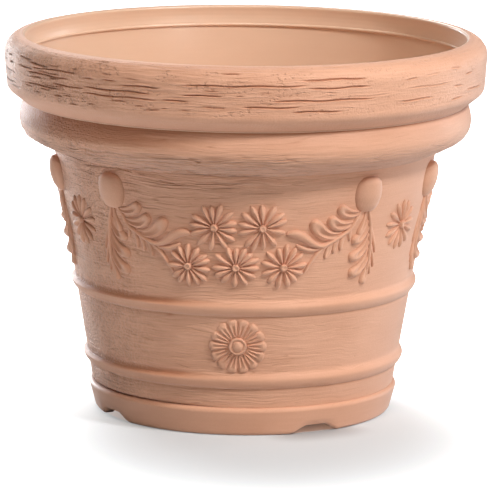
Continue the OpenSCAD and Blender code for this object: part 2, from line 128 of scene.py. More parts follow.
class Plan:
    """Writes one node tree: a new group, or the tree of a material."""

    def __init__(self, name, kind=None, tree=None):
        self.tree = tree or bpy.data.node_groups.new(name, kind)
        if tree is None:
            self.inlet = self.tree.nodes.new("NodeGroupInput")
            self.outlet = self.tree.nodes.new("NodeGroupOutput")

    def take(self, name, value=None, kind="Float"):
        socket = self.tree.interface.new_socket(name, in_out="INPUT", socket_type="NodeSocket" + kind)
        if value is not None:
            socket.default_value = value
        return Wire(self, self.inlet.outputs[name])

    def give(self, name, wire, kind="Float"):
        self.tree.interface.new_socket(name, in_out="OUTPUT", socket_type="NodeSocket" + kind)
        self.feed(self.outlet.inputs[name], wire)

    def feed(self, socket, value):
        if isinstance(value, Wire):
            self.tree.links.new(value.socket, socket)
        else:
            socket.default_value = value

    def node(self, kind, inputs=None, **settings):
        made = self.tree.nodes.new(kind)
        for name, value in settings.items():
            setattr(made, name, value)
        for name, value in (inputs or {}).items():
            self.feed(made.inputs[name], value)
        return made

    def wire(self, kind, inputs=None, out=0, **settings):
        return Wire(self, self.node(kind, inputs, **settings).outputs[out])

    def math(self, operation, first, second=0.0, clamp=False):
        return self.wire("ShaderNodeMath", {0: first, 1: second}, operation=operation, use_clamp=clamp)

    def clamp(self, value):
        return self.math("ADD", value, 0.0, clamp=True)

    def sin(self, value): return self.math("SINE", value)
    def cos(self, value): return self.math("COSINE", value)
    def above(self, a, b): return self.math("GREATER_THAN", a, b)

    def mix(self, share, low, high):
        return low + share * (high - low)

    def blend(self, share, first, second):
        """The colour between two."""
        return self.wire("ShaderNodeMix", {0: share, 6: first, 7: second}, out=2, data_type="RGBA")

    def step(self, value, low, high):
        """0 below low, 1 above high and a smooth rise between them."""
        return self.wire("ShaderNodeMapRange", {"Value": value, "From Min": low, "From Max": high},
                         interpolation_type="SMOOTHSTEP")

    def spot(self):
        return self.wire("GeometryNodeInputPosition")

    def xyz(self, x, y, z):
        return self.wire("ShaderNodeCombineXYZ", {0: x, 1: y, 2: z})

    def split(self, vector):
        parts = self.node("ShaderNodeSeparateXYZ", {0: vector})
        return [Wire(self, out) for out in parts.outputs]

    def curve(self, value, points):
        """The smooth curve through points, read at value."""
        made = self.node("ShaderNodeFloatCurve", {"Value": value})
        line = made.mapping.curves[0]
        line.points[0].location, line.points[1].location = points[:2]
        for place in points[2:]:
            line.points.new(*place)
        made.mapping.update()
        return Wire(self, made.outputs[0])

    def noise(self, vector, detail=2.0, rough=0.5):
        return self.wire("ShaderNodeTexNoise", {
            "Vector": vector, "Scale": 1.0, "Detail": detail, "Roughness": rough})

    def place(self, group, inputs, out=0):
        return self.wire(self.tree.bl_idname.replace("Tree", "Group"), inputs, out, node_tree=group)

    def scaled(self, vector, run, pitch=None):
        """The vector measured in runs along the level and in pitches up the height."""
        x, y, z = self.split(vector)
        return self.xyz(x / run, y / run, z / (pitch or run))

    def named(self, name):
        """The value of that name on a shape."""
        return self.wire("GeometryNodeInputNamedAttribute", {"Name": name}, data_type="FLOAT")

    def painted(self, name):
        """The value of that name on the surface that a material colours."""
        return self.wire("ShaderNodeAttribute", attribute_name=name, out="Fac")

    def catch(self, shape, *values):
        """The shape and the values as they are at this step."""
        kept = self.node("GeometryNodeCaptureAttribute")
        self.feed(kept.inputs[0], shape)
        for number, value in enumerate(values, 1):
            kind = "VECTOR" if value.socket.type == "VECTOR" else "FLOAT"
            kept.capture_items.new(kind, "kept_" + str(number))
            self.feed(kept.inputs[number], value)
        return [Wire(self, kept.outputs[number]) for number in range(len(values) + 1)]

    def mark(self, shape, name, value):
        """The shape with the value kept on its points under the name."""
        return self.wire("GeometryNodeStoreNamedAttribute", {"Geometry": shape, "Name": name, "Value": value})

    def move(self, shape, x, y, z):
        return self.wire("GeometryNodeSetPosition", {"Geometry": shape, "Position": self.xyz(x, y, z)})

    def dress(self, shape, finish):
        """The shape as a plain mesh with the finish."""
        shape = self.wire("GeometryNodeRealizeInstances", {0: shape})
        return self.wire("GeometryNodeSetMaterial", {"Geometry": shape, "Material": finish})


GEO = "GeometryNodeTree"
SHADE = "ShaderNodeTree"


def strokes_plan(name, kind):
    """Wavy level strokes, as a brush leaves them. Height is about 0.5 on the whole."""
    plan = Plan(name, kind)
    place = plan.take("Vector", kind="Vector")
    run, pitch, wave = map(plan.take, ("Run", "Pitch", "Wave"))
    wave_run = plan.take("Wave Run", 0.045)
    x, y, z = plan.split(place)
    swing = plan.noise(plan.xyz(x / wave_run, y / wave_run, z / wave_run + 7), 1.0) - 0.5
    level = z + swing * wave * 2
    plan.give("Height", plan.noise(plan.xyz(x / run, y / run, level / pitch), 3.0, 0.6))
    return plan.tree


def nicks_plan():
    """Short level nicks and small pits in patches. Each mask is 1 where it is deepest."""
    plan = Plan("nicks_and_pits", SHADE)
    place = plan.take("Vector", kind="Vector")
    pitch = plan.take("Pitch", 0.0075)
    pit_size = plan.take("Pit Size", 0.0024)
    x, y, z = plan.split(place)
    swing = plan.noise(plan.scaled(place, 0.04, 0.03), 1.0) - 0.5
    level = z + swing * 0.003
    body = plan.noise(plan.xyz(x / 0.09 + 3, y / 0.09 + 5, level / pitch), 0.0)
    line = plan.clamp(1.0 - abs(body - 0.5) / 0.035)
    broken = plan.noise(plan.xyz(x / 0.03 - 4, y / 0.03 + 2, level / (pitch * 0.7)), 1.0)
    plan.give("Nicks", line * plan.step(broken, 0.5, 0.56))
    pits = plan.noise(plan.xyz(x / pit_size / 1.6, y / pit_size / 1.6, z / pit_size), 1.0)
    patch = plan.noise(plan.xyz(x / 0.03 + 9, y / 0.03, z / 0.009), 1.0)
    plan.give("Pits", plan.step(pits, 0.55, 0.68) * plan.step(patch, 0.5, 0.62))
    return plan.tree


geo_strokes = strokes_plan("level_strokes_shape", GEO)
tone_strokes = strokes_plan("level_strokes_finish", SHADE)
nicks_and_pits = nicks_plan()


def grain_plan():
    """Fine sandy grain in two sizes."""
    plan = Plan("sandy_grain", SHADE)
    place = plan.take("Vector", kind="Vector")
    size = plan.take("Size")
    fine = plan.noise(plan.scaled(place, size), 2.0, 0.6)
    wide = plan.noise(plan.scaled(place, size * 4), 2.0, 0.5)
    plan.give("Height", fine * 0.6 + wide * 0.4)
    return plan.tree


def tone_plan():
    """The clay tone, with broad drifts of paler and deeper colour and faint level streaks."""
    plan = Plan("clay_tone", SHADE)
    place = plan.take("Vector", kind="Vector")
    pale = plan.take("Pale", kind="Color")
    deep = plan.take("Deep", kind="Color")
    depth = plan.take("Depth")
    broad = plan.noise(plan.scaled(place, 0.09, 0.05), 2.0, 0.5)
    streak = plan.noise(plan.scaled(place, 0.06, 0.004), 3.0, 0.6)
    speck = plan.noise(plan.scaled(place, 0.0016), 1.0)
    drift = plan.clamp(0.27 + (broad - 0.5) * 0.55 + (streak - 0.5) * 0.2 + (speck - 0.5) * 0.14 + depth)
    plan.give("Color", plan.blend(drift, pale, deep), "Color")
    return plan.tree


sandy_grain = grain_plan()
clay_tone = tone_plan()


# Strokes of a finish: the value on the shape that says where they are, their run, pitch, wave and
# strength in metres, which marks lie between them and how deep, and how much painted shade darkens
# the strokes' grooves, the marks and the cuts
Strokes = namedtuple(
    "Strokes", "where run pitch wave strength marks mark_depth line_tone mark_tone cut_tone")
BRUSHED = Strokes("stroke", 0.04, 0.0019, 0.006, 0.0017, "Nicks", 0.0004, 1.1, 0.35, 1.1)
HEWN = Strokes("hewn", 0.04, 0.0023, 0.0025, 0.0023, "Pits", 0.001, 1.3, 0.3, 1.25)
SAND_SIZE = 0.0026
SAND_DEPTH = 0.0042
SAND_TONE = 2.4


def fill(node, values):
    for name, value in values.items():
        node.inputs[name].default_value = value


def finish_named(name):
    """A new material, its plan and its shader."""
    made = bpy.data.materials.new(name)
    made.use_nodes = True
    return made, Plan(name, tree=made.node_tree), made.node_tree.nodes["Principled BSDF"]


def clay(name, pale, deep, rough, grain, strokes=None, pressed=False, gloss=0.45, grain_size=0.0012):
    """One finish of the moulded clay, with its strokes and their painted shade, or with painted shade at the
    foot of pressed relief.
    """
    made, plan, shader = finish_named(name)
    place = plan.wire("ShaderNodeTexCoord", out="Object")
    height = plan.place(sandy_grain, {"Vector": place, "Size": grain_size}) * grain
    depth = 0.0
    if strokes:
        x, y, _ = plan.split(place)
        along = plan.xyz(x, y, plan.painted("up"))
        where = plan.painted(strokes.where)
        lines = plan.place(tone_strokes, {
            "Vector": along, "Run": strokes.run, "Pitch": strokes.pitch, "Wave": strokes.wave})
        marks = plan.place(nicks_and_pits, {"Vector": along}, out=strokes.marks)
        sand_and_sheen = plan.painted("sand_and_sheen")
        sand = plan.place(sandy_grain, {"Vector": place, "Size": SAND_SIZE})
        height += where * ((lines - 0.5) * strokes.strength - marks * strokes.mark_depth)
        height += sand_and_sheen * sand * SAND_DEPTH
        # Painted shade: the strokes' grooves, the marks and the cuts are coloured darker
        depth = where * ((0.5 - lines) * strokes.line_tone + marks * strokes.mark_tone)
        depth += plan.painted("crack") * strokes.cut_tone
        # Painted shade and sheen: the sand's hollows are coloured darker and its tops paler, and the whole
        # sandy patch paler as sheen
        depth = depth + sand_and_sheen * (0.5 - sand) * SAND_TONE - sand_and_sheen * 0.1
    if pressed:
        # Painted shade: the clay is darker where the relief falls to the body
        depth = plan.painted("relief_foot_shade") ** 4.0 * 0.62 + 0.05
    plan.feed(shader.inputs["Base Color"],
              plan.place(clay_tone, {"Vector": place, "Pale": pale, "Deep": deep, "Depth": depth}))
    plan.feed(shader.inputs["Roughness"], rough + (plan.noise(plan.scaled(place, 0.02), 2.0) - 0.5) * 0.16)
    plan.feed(shader.inputs["Normal"], plan.wire("ShaderNodeBump", {"Height": height, "Distance": 1.0}))
    fill(shader, {"Specular IOR Level": gloss, "Sheen Weight": 0.28, "Sheen Roughness": 0.5})
    return made


PALE = (0.85, 0.475, 0.315, 1)
DEEP = (0.53, 0.22, 0.112, 1)
brushed_clay = clay("brushed_clay", PALE, DEEP, 0.58, 0.0002, BRUSHED)
hewn_clay = clay("hewn_clay", PALE, DEEP, 0.57, 0.0008, HEWN, grain_size=0.0018)
smooth_clay = clay("smooth_clay", PALE, DEEP, 0.54, 0.00009)
# Inside, the same clay is coloured paler and less saturated as painted light, and it is glossier
inside_clay_painted_paler = clay("inside_clay_painted_paler", (0.88, 0.62, 0.45, 1), (0.78, 0.48, 0.32, 1), 0.34, 0.00004, gloss=0.9)
pressed_clay = clay("pressed_clay", PALE, (0.56, 0.265, 0.155, 1), 0.6, 0.0005, pressed=True,
                    grain_size=0.0016)


def turn_plan():
    """Turns a profile round the pot's axis and works strokes and cuts into it."""
    plan = Plan("turned_on_the_axis", GEO)
    profile = plan.take("Profile", kind="Geometry")
    columns = plan.take("Columns", kind="Int")
    stroke_run = plan.take("Stroke Run", 0.05)
    stroke_pitch = plan.take("Stroke Pitch", 0.009)
    crack_half = plan.take("Crack Half Width", 1.2 * MM)
    lit_side_bearing = plan.take("Lit Side Bearing", radians(105))
    lit_side_fade = plan.take("Lit Side Fade", 0.65)
    stroke_depth, crack_depth, crease_depth, seam_depth, smooth_share, notch_lift = map(plan.take, (
        "Stroke Depth", "Crack Depth", "Crease Depth", "Seam Depth", "Smooth Share", "Notch Lift"))
    finish = plan.take("Finish", kind="Material")
    inside_finish = plan.take("Inside Finish", kind="Material")

    parts = plan.node("GeometryNodeSeparateGeometry", {
        "Geometry": profile, "Selection": plan.named("is_crack")})
    cracks, outline = [Wire(plan, out) for out in parts.outputs]
    line = plan.wire("GeometryNodeMeshToCurve", {0: outline})
    line, spot = plan.catch(line, plan.spot())
    ring = plan.wire("GeometryNodeCurvePrimitiveCircle", {"Resolution": columns, "Radius": 1.0})
    ring, share = plan.catch(ring, plan.wire("GeometryNodeSplineParameter"))
    skin = plan.wire("GeometryNodeCurveToMesh", {0: ring, 1: line})
    r, _, z = plan.split(spot)
    turn = share * tau
    side, front = plan.sin(turn), plan.cos(turn) * -1
    place = plan.xyz(r * side, r * front, z)
    # 1 on the pot's left, away from the key lamp, and -1 straight across from it. The strokes and their
    # painted shade fade towards the lit side; the creases with their painted shade and the sand with its
    # painted sheen lie on the left only
    away_from_light = -1.0 * (side * plan.sin(lit_side_bearing) - front * plan.cos(lit_side_bearing))
    toned = 1.0 - lit_side_fade * plan.step(away_from_light, 0.55, -0.5)
    stroked = plan.named("stroke") * (1.0 - smooth_share * plan.step(away_from_light, -0.38, -0.78))
    creased = plan.step(away_from_light, 0.3, 0.78) * plan.named("crease")
    along = plan.xyz(r * side, r * front, plan.named("up"))
    lines = plan.place(geo_strokes, {"Vector": along, "Run": stroke_run, "Pitch": stroke_pitch,
                                     "Wave": 0.004, "Wave Run": 0.09})
    near = plan.wire("GeometryNodeProximity", {"Target": cracks, "Source Position": place}, out="Distance",
                     target_element="EDGES")
    cracked = plan.above(crack_depth, 0.0)
    crack = plan.clamp(1.0 - near / crack_half) * cracked
    from_lip = abs(near - crack_half * 1.5)
    lip = plan.clamp(1.0 - from_lip / (CRACK_LIP_HALF * MM)) * cracked
    push = stroked * (lines - 0.5) * stroke_depth - crack * crack_depth + lip * (CRACK_LIP_RISE * MM)
    push = push - creased * crease_depth - plan.named("seam") * seam_depth
    r, z = r + plan.named("out_r") * push, z + plan.named("out_z") * push
    # The notches lift the lower part of the foot between their sloping ends
    lift = 0.0
    for quarter in range(4):
        bearing = radians(NOTCH_BEARING + 90 * quarter)
        across = r * (side * cos(bearing) + front * sin(bearing))
        ahead = r * (side * sin(bearing) - front * cos(bearing))
        ends = plan.step(abs(across), NOTCH_HALF * MM, (NOTCH_HALF - NOTCH_SLOPE) * MM)
        lift = ends * plan.above(ahead, 0.0) + lift
    z += lift * plan.clamp(1.0 - z / (NOTCH_FADE * MM)) * notch_lift
    # The sandy patch lies on the left, with real sand grain and a painted paler sheen
    rough = plan.math("MAXIMUM", plan.named("stroke"), plan.named("hewn"), clamp=True)
    # The crack value is painted shade: darker in the cracks, in the seams and the groove under the rim, and
    # on the left in the creases and the rim's shadow on the collar
    for name, value in (("sand_and_sheen", rough * plan.step(away_from_light, 0.62, 0.97)),
                        ("stroke", stroked * toned), ("hewn", plan.named("hewn") * toned),
                        ("crack", crack + creased + plan.named("seam") * 0.3)):
        skin = plan.mark(skin, name, value)
    skin = plan.dress(plan.move(skin, r * side, r * front, z), finish)
    is_inside = plan.above(plan.named("inside"), 0.5)
    plan.give("Geometry", plan.wire("GeometryNodeSetMaterial", {
        "Geometry": skin, "Selection": is_inside, "Material": inside_finish}), "Geometry")
    return plan.tree


def body_plan():
    """Lays flat relief on the body: x runs along the wall, y up it and z out of it."""
    plan = Plan("laid_on_the_body", GEO)
    flat = plan.take("Flat", kind="Geometry")
    bearing = plan.take("Bearing")
    height = plan.take("Height")
    side = plan.take("Side", 1.0)
    u, v, h = plan.split(plan.spot())
    z = height + v
    r = WALL_FOOT_R * MM + (z - FOOT_Z * MM) * WALL_SLOPE
    for crest in HOOPS_Z:
        off = z - crest * MM
        slope = plan.clamp(off / (HOOP_ABOVE * MM))
        bend = plan.clamp(off / (-HOOP_BELOW * MM))
        r += plan.cos(slope * (pi / 2)) ** 2.0 * (1.0 - bend ** 2.4) * (HOOP_RISE * MM)
    turn = bearing + side * u / r
    reach = r + h
    plan.give("Geometry", plan.move(flat, reach * plan.sin(turn), reach * plan.cos(turn) * -1, z),
              "Geometry")
    return plan.tree


def section_plan():
    """Share of its height that a petal or leaf has at a place across it and along it."""
    plan = Plan("relief_section", GEO)
    across, along, slot = map(plan.take, ("Across", "Along", "Slot"))
    off = abs(across)
    dome = plan.curve(off, [(0, 1), (0.3, 0.94), (0.6, 0.72), (0.85, 0.38), (1, 0)])
    trough = plan.curve(off, [(0, 1), (0.2, 0.85), (0.5, 0.12), (0.7, 0), (1, 0)])
    open_part = plan.curve(along, [(0, 0.4), (0.15, 0.9), (0.55, 1), (0.8, 0.35), (0.92, 0), (1, 0)])
    plan.give("Share", dome - trough * open_part * slot)
    return plan.tree


turned_on_the_axis = turn_plan()
laid_on_the_body = body_plan()
relief_section = section_plan()
EDGE_SINK = 0.4 * MM
BACK_SINK = 0.3 * MM
TOP_OF_LOOP = 0.75
TOP_OF_DISC = 0.8

# Outlines as (share of the way, share of the width or height)
CLUB = [(0, 0), (0.06, 0.26), (0.3, 0.5), (0.55, 0.9), (0.68, 1), (0.85, 0.82), (0.96, 0.42), (1, 0)]
WEDGE = [(0, 0), (0.04, 0.34), (0.35, 0.55), (0.65, 0.78), (0.84, 0.98), (0.93, 0.85), (0.98, 0.5), (1, 0)]
SWELL = [(0, 0.5), (0.3, 0.72), (0.55, 0.97), (0.7, 1), (0.86, 0.78), (0.96, 0.4), (1, 0)]
BUTTON = [(0, 0.86), (0.35, 0.9), (0.6, 1), (0.82, 0.8), (1, 0)]
RINGED = [(0, 1), (0.3, 0.93), (0.5, 0.7), (0.62, 0.42), (0.72, 0.62), (0.84, 0.68), (0.94, 0.5), (1, 0.1)]


def loop_across(plan, q):
    """Across share and front mask for q running once round a closed section."""
    front = plan.cos(q / TOP_OF_LOOP * pi)
    back = plan.cos((q - TOP_OF_LOOP) / (1 - TOP_OF_LOOP) * pi) * -1
    is_back = plan.above(q, TOP_OF_LOOP + 0.001)
    return plan.mix(is_back, front, back), 1.0 - is_back


def lay(plan, flat, **inputs):
    """Ends a tree: its flat relief is laid on the body and takes the finish."""
    laid = plan.place(laid_on_the_body, {
        "Flat": flat, "Bearing": plan.take("Bearing"), "Height": plan.take("Height"), **inputs})
    plan.give("Geometry", plan.dress(laid, plan.take("Finish", kind="Material")), "Geometry")
    return plan.tree


def head_plan():
    """A flower head: petals on given bearings round a turned middle, laid on the body."""
    plan = Plan("flower_head", GEO)
    points = plan.take("Petals", kind="Geometry")
    inner = plan.take("Inner", 3 * MM)
    half = plan.take("Half Width", 3.3 * MM)
    rise = plan.take("Rise", 5.2 * MM)
    slot = plan.take("Slot")
    wedge = plan.take("Wedge")
    middle_r = plan.take("Middle Radius", 4.1 * MM)
    middle_rise = plan.take("Middle Rise", 5 * MM)

    def grid(x_count, y_count):
        """A unit grid that keeps its two shares, from 0 to 1."""
        made = plan.wire("GeometryNodeMeshGrid", {
            "Size X": 1.0, "Size Y": 1.0, "Vertices X": x_count, "Vertices Y": y_count})
        made, shares = plan.catch(made, plan.spot())
        x, y, _ = plan.split(shares)
        return made, x + 0.5, y + 0.5

    petal, x, q = grid(8, 9)
    x = plan.sin(x * (pi / 2))
    spread = plan.wire("GeometryNodeInstanceOnPoints", {"Points": points, "Instance": petal})
    spread = plan.wire("GeometryNodeRealizeInstances", {0: spread})
    across, front = loop_across(plan, q)
    swell = plan.curve(x, SWELL)
    width = plan.mix(wedge, plan.curve(x, CLUB), plan.curve(x, WEDGE)) * half * plan.named("broad")
    turn = plan.named("bearing") + plan.named("bend") * x * x
    out = inner + (plan.named("long") - inner) * x
    share = plan.place(relief_section, {"Across": across, "Along": x, "Slot": slot})
    lift = plan.mix(front, plan.sin(x * pi) * -BACK_SINK, swell * share * rise) - EDGE_SINK
    c, s = plan.cos(turn), plan.sin(turn)
    side = width * across
    # Painted shade at the foot of each petal, where it falls to the body
    spread = plan.mark(spread, "relief_foot_shade", 1.0 - swell * share * front)
    flat = plan.move(spread, out * c - side * s, out * s + side * c, lift)

    disc, p, turn = grid(11, 25)
    is_back = plan.above(p, TOP_OF_DISC + 0.01)
    ring = plan.mix(is_back, p / TOP_OF_DISC, (1.0 - p) / (1 - TOP_OF_DISC))
    top = plan.mix(wedge, plan.curve(ring, BUTTON), plan.curve(ring, RINGED)) * middle_rise
    lift = plan.mix(is_back, top, ring * -BACK_SINK) - EDGE_SINK
    a = turn * tau
    middle = plan.move(disc, ring * middle_r * plan.cos(a), ring * middle_r * plan.sin(a), lift)

    both = plan.node("GeometryNodeJoinGeometry")
    for part in (flat, middle):
        plan.feed(both.inputs[0], part)
    return lay(plan, Wire(plan, both.outputs[0]))


def leaf_plan():
    """Leaves and stems along given paths, laid on the body."""
    plan = Plan("leaves_along_paths", GEO)
    paths = plan.take("Paths", kind="Geometry")
    around = plan.take("Around", kind="Int")

    share_of_way = plan.wire("GeometryNodeSplineParameter")
    lines = plan.wire("GeometryNodeMeshToCurve", {0: paths})
    tangent = plan.wire("GeometryNodeInputTangent")
    lines, spot, ahead, along = plan.catch(lines, plan.spot(), tangent, share_of_way)
    loop = plan.wire("GeometryNodeCurvePrimitiveCircle", {"Resolution": around, "Radius": 1.0})
    loop, q = plan.catch(loop, share_of_way)
    skin = plan.wire("GeometryNodeCurveToMesh", {0: lines, 1: loop})
    across, front = loop_across(plan, q)
    share = plan.place(relief_section, {"Across": across, "Along": along, "Slot": plan.named("slot")})
    lift = plan.mix(front, plan.sin(along * pi) * -BACK_SINK, share * plan.named("rise")) - EDGE_SINK
    u, v, _ = plan.split(spot)
    tu, tv, _ = plan.split(ahead)
    off = plan.named("half") * across
    # Painted shade at the foot of each leaf, where it falls to the body
    skin = plan.mark(skin, "relief_foot_shade", 1.0 - share * front)
    flat = plan.move(skin, u - tv * off, v + tu * off, lift)
    return lay(plan, flat, Side=plan.take("Side", 1.0))


flower_head = head_plan()
leaves_along_paths = leaf_plan()


def base_mesh(name, points, edges, values):
    """A mesh of loose points or lines that carries named values on its points."""
    mesh = bpy.data.meshes.new(name)
    mesh.from_pydata(points, edges, [])
    for key, numbers in values.items():
        mesh.attributes.new(key, "FLOAT", "POINT").data.foreach_set("value", numbers)
    return mesh


def added(name, data):
    """A new object in the scene."""
    made = bpy.data.objects.new(name, data)
    scene.collection.objects.link(made)
    return made


def grow(name, mesh, tree, inputs, sharp=38):
    """Runs the tree on the mesh and keeps the result as a plain, closed mesh."""
    raw = added(name + "_raw", mesh)
    work = raw.modifiers.new("work", "NODES")
    work.node_group = tree
    for key, value in inputs.items():
        work[tree.interface.items_tree[key].identifier] = value
    shaped = raw.evaluated_get(bpy.context.evaluated_depsgraph_get())
    made = bpy.data.meshes.new_from_object(shaped)
    raw.modifiers.remove(work)
    bpy.data.objects.remove(raw)
    bm = bmesh.new()
    bm.from_mesh(made)
    bmesh.ops.remove_doubles(bm, verts=bm.verts, dist=1e-6)
    bmesh.ops.dissolve_degenerate(bm, edges=bm.edges, dist=1e-7)
    bmesh.ops.recalc_face_normals(bm, faces=bm.faces)
    bm.to_mesh(made)
    bm.free()
    made.name = name
    made.shade_smooth()
    made.set_sharp_from_angle(angle=radians(sharp))
    return added(name, made)


def toward(bearing, rise):
    """The direction at a bearing from the front and a rise above the level, in radians."""
    return Vector((sin(bearing) * cos(rise), -cos(bearing) * cos(rise), sin(rise)))


def settle(piece, slot, *nodes):
    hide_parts(*nodes)
    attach(piece, "root")


def arc(x, z, r, start, end, steps):
    turns = [radians(start + (end - start) * i / steps) for i in range(steps + 1)]
    return [(x + r * cos(turn), z + r * sin(turn)) for turn in turns]


SHARES = ("crease", "seam", "stroke", "hewn", "inside")


def profile(name, corners, spacing, cracks=(), **shares):
    """A closed profile through corners, (radius, height), with points spacing(r, z) apart. shares say
    how much of each of SHARES a point takes; inside is for points that look into the pot. cracks are
    lines of points on the finished surface."""
    points = []
    for (r0, z0), (r1, z1) in zip(corners, corners[1:] + corners[:1]):
        steps = max(1, round(dist((r0, z0), (r1, z1)) / spacing((r0 + r1) / 2, (z0 + z1) / 2)))
        points += [(r0 + (r1 - r0) * i / steps, z0 + (z1 - z0) * i / steps) for i in range(steps)]
    count = len(points)
    twice_area = sum(points[i - 1][0] * points[i][1] - points[i][0] * points[i - 1][1] for i in range(count))
    hand = -1 if twice_area < 0 else 1
    values = {"out_r": [], "out_z": [], "up": [0.0]}
    for i in range(count):
        (r0, z0), (r1, z1) = points[i - 1], points[(i + 1) % count]
        length = dist((r0, z0), (r1, z1)) or 1
        values["out_r"].append(hand * (z1 - z0) / length)
        values["out_z"].append(hand * (r0 - r1) / length)
        if i:
            values["up"].append(values["up"][-1] + dist(points[i - 1], points[i]) * MM)
    for key in SHARES:
        values[key] = [shares[key](*point) if key in shares else 0.0 for point in points]
    places = [(r * MM, 0, z * MM) for r, z in points]
    edges = [(i, (i + 1) % count) for i in range(count)]
    for line in cracks:
        edges += [(len(places) + i, len(places) + i + 1) for i in range(len(line) - 1)]
        places += line
    on_cracks = len(places) - count
    values = {key: numbers + [0.0] * on_cracks for key, numbers in values.items()}
    return base_mesh(name, places, edges, {"is_crack": [0.0] * count + [1.0] * on_cracks, **values})


def turned(name, nodes, corners, spacing, finish, columns, lengths, cracks=(), smooth=0.0, **shares):
    """Turns a profile into the piece that stands for the nodes. lengths are in millimetres."""
    inputs = {key: value * MM for key, value in lengths.items()}
    outline = profile(name + "_profile", corners, spacing, cracks, **shares)
    piece = grow(name + "_skin", outline, turned_on_the_axis, {
        "Columns": columns, "Smooth Share": smooth, "Finish": finish, "Inside Finish": inside_clay_painted_paler, **inputs})
    settle(piece, "terracotta_body", *nodes)


def ramp(value, low, high):
    share = min(max((value - low) / (high - low), 0), 1)
    return share * share * (3 - 2 * share)


def wall_r(z):
    return WALL_FOOT_R + (z - FOOT_Z) * WALL_SLOPE


def hoop_bulge(d):
    if d >= HOOP_ABOVE or d <= -HOOP_BELOW:
        return 0
    if d > 0:
        return HOOP_RISE * cos(pi / 2 * d / HOOP_ABOVE) ** 2
    return HOOP_RISE * (1 - (-d / HOOP_BELOW) ** HOOP_BEND)


def body_r(z):
    return wall_r(z) + sum(hoop_bulge(z - crest) for crest in HOOPS_Z)


# Wall and hoops: one skin, brushed between the hoops
def is_outside(r, z):
    """Whether a point of the wall's profile is on its outer face."""
    return r > wall_r(z) - 0.7 * WALL_T


def wall_stroke(r, z):
    near = max(hoop_bulge(z - crest) for crest in HOOPS_Z)
    under = 1 + 1.1 * ramp(z, SHOULDER_Z - 26, SHOULDER_Z - 6)
    return is_outside(r, z) * under * (1 - 0.85 * ramp(near, 1.5, 4)) * ramp(z, FOOT_Z, FOOT_Z + 3)


def wall_crease(r, z):
    """Share of the shallow crease that runs above each hoop and above the foot, painted darker as shade too.
    """
    return is_outside(r, z) * max(0, *(1 - abs(z - crest - CREASE_UP) / CREASE_HALF for crest in HOOPS_Z),
                                  1 - abs(z - FOOT_Z + 0.5) / 3)


def wall_seam(r, z):
    """Share of the fine line under each hoop, painted darker as shade too."""
    return is_outside(r, z) * max(0, *(1 - abs(z - crest + HOOP_BELOW + 0.6) / 2 for crest in HOOPS_Z))


WALL_ROWS = 250
wall_rows = [FOOT_Z + i * (SHOULDER_Z - FOOT_Z) / WALL_ROWS for i in range(WALL_ROWS + 1)]
turned("wall", ("wall", "upper_hoop", "lower_hoop"),
       [(body_r(z), z) for z in wall_rows]
       + [(WALL_TOP_R - WALL_T, SHOULDER_Z), (WALL_FOOT_R - WALL_T, FOOT_Z)],
       lambda r, z: 1.2 if is_outside(r, z) else 8, brushed_clay, 320,
       {"Stroke Depth": 1.1, "Stroke Run": 140, "Stroke Pitch": 4.5, "Crease Depth": 2.8,
        "Seam Depth": 0.5},
       smooth=0.85, stroke=wall_stroke, inside=lambda r, z: not is_outside(r, z), crease=wall_crease,
       seam=wall_seam)


def groove_at(r, z):
    """Share of the painted shade in the groove where the rim meets the collar."""
    return 3 * max(0, 1 - hypot(r - GROOVE_R, z - GROOVE_Z) / 3.2)


# Collar and neck: one skin
closing_h = GROOVE_Z - BELLY_Z
groove_depth = COLLAR_R - GROOVE_R
closing_r = (groove_depth ** 2 + closing_h ** 2) / (2 * groove_depth)
inner_round = COLLAR_ROUND - NECK_T
collar_corners = (
    [(WALL_TOP_R, SHOULDER_Z)]
    + arc(COLLAR_R - COLLAR_ROUND, BELLY_Z, COLLAR_ROUND, COLLAR_SLOPE - 90, 0, 24)
    + arc(COLLAR_R - closing_r, BELLY_Z, closing_r, 0, degrees(asin(closing_h / closing_r)), 16)[1:]
    + [(NECK_TOP_R + NECK_T, NECK_Z), (NECK_TOP_R, NECK_Z), (NECK_FOOT_R, GROOVE_Z)]
    + arc(NECK_FOOT_R - inner_round, BELLY_Z - NECK_T, inner_round, 0, COLLAR_SLOPE - 90, 12)
    + [(WALL_TOP_R - WALL_T, SHOULDER_Z + WALL_T * tan(radians(COLLAR_SLOPE))),
       (WALL_TOP_R - WALL_T, SHOULDER_Z)])


def collar_inside(r, z):
    slope_z = SHOULDER_Z + (r - WALL_TOP_R) * tan(radians(COLLAR_SLOPE))
    return r < NECK_TOP_R + 1 and (z > GROOVE_Z or r < NECK_FOOT_R + 0.5) and z > slope_z + 2


def collar_stroke(r, z):
    if collar_inside(r, z) or z > GROOVE_Z:
        return 0.0
    return 3.2 - 2.5 * ramp(z, SHOULDER_Z + 14, BELLY_Z)


def hollow_tone(r, z):
    """Share of the rim's painted shadow on the collar, in the hollow under the rim."""
    return 0.0 if collar_inside(r, z) else 0.75 * ramp(z, BELLY_Z - 6, BELLY_Z + 4)


turned("collar", ("collar", "neck"), collar_corners,
       lambda r, z: 0.9 if z < GROOVE_Z and not collar_inside(r, z) else 3, brushed_clay, 360,
       {"Stroke Depth": 1.5, "Stroke Run": 160, "Stroke Pitch": 2.8},
       stroke=collar_stroke, inside=collar_inside, seam=groove_at, crease=hollow_tone)

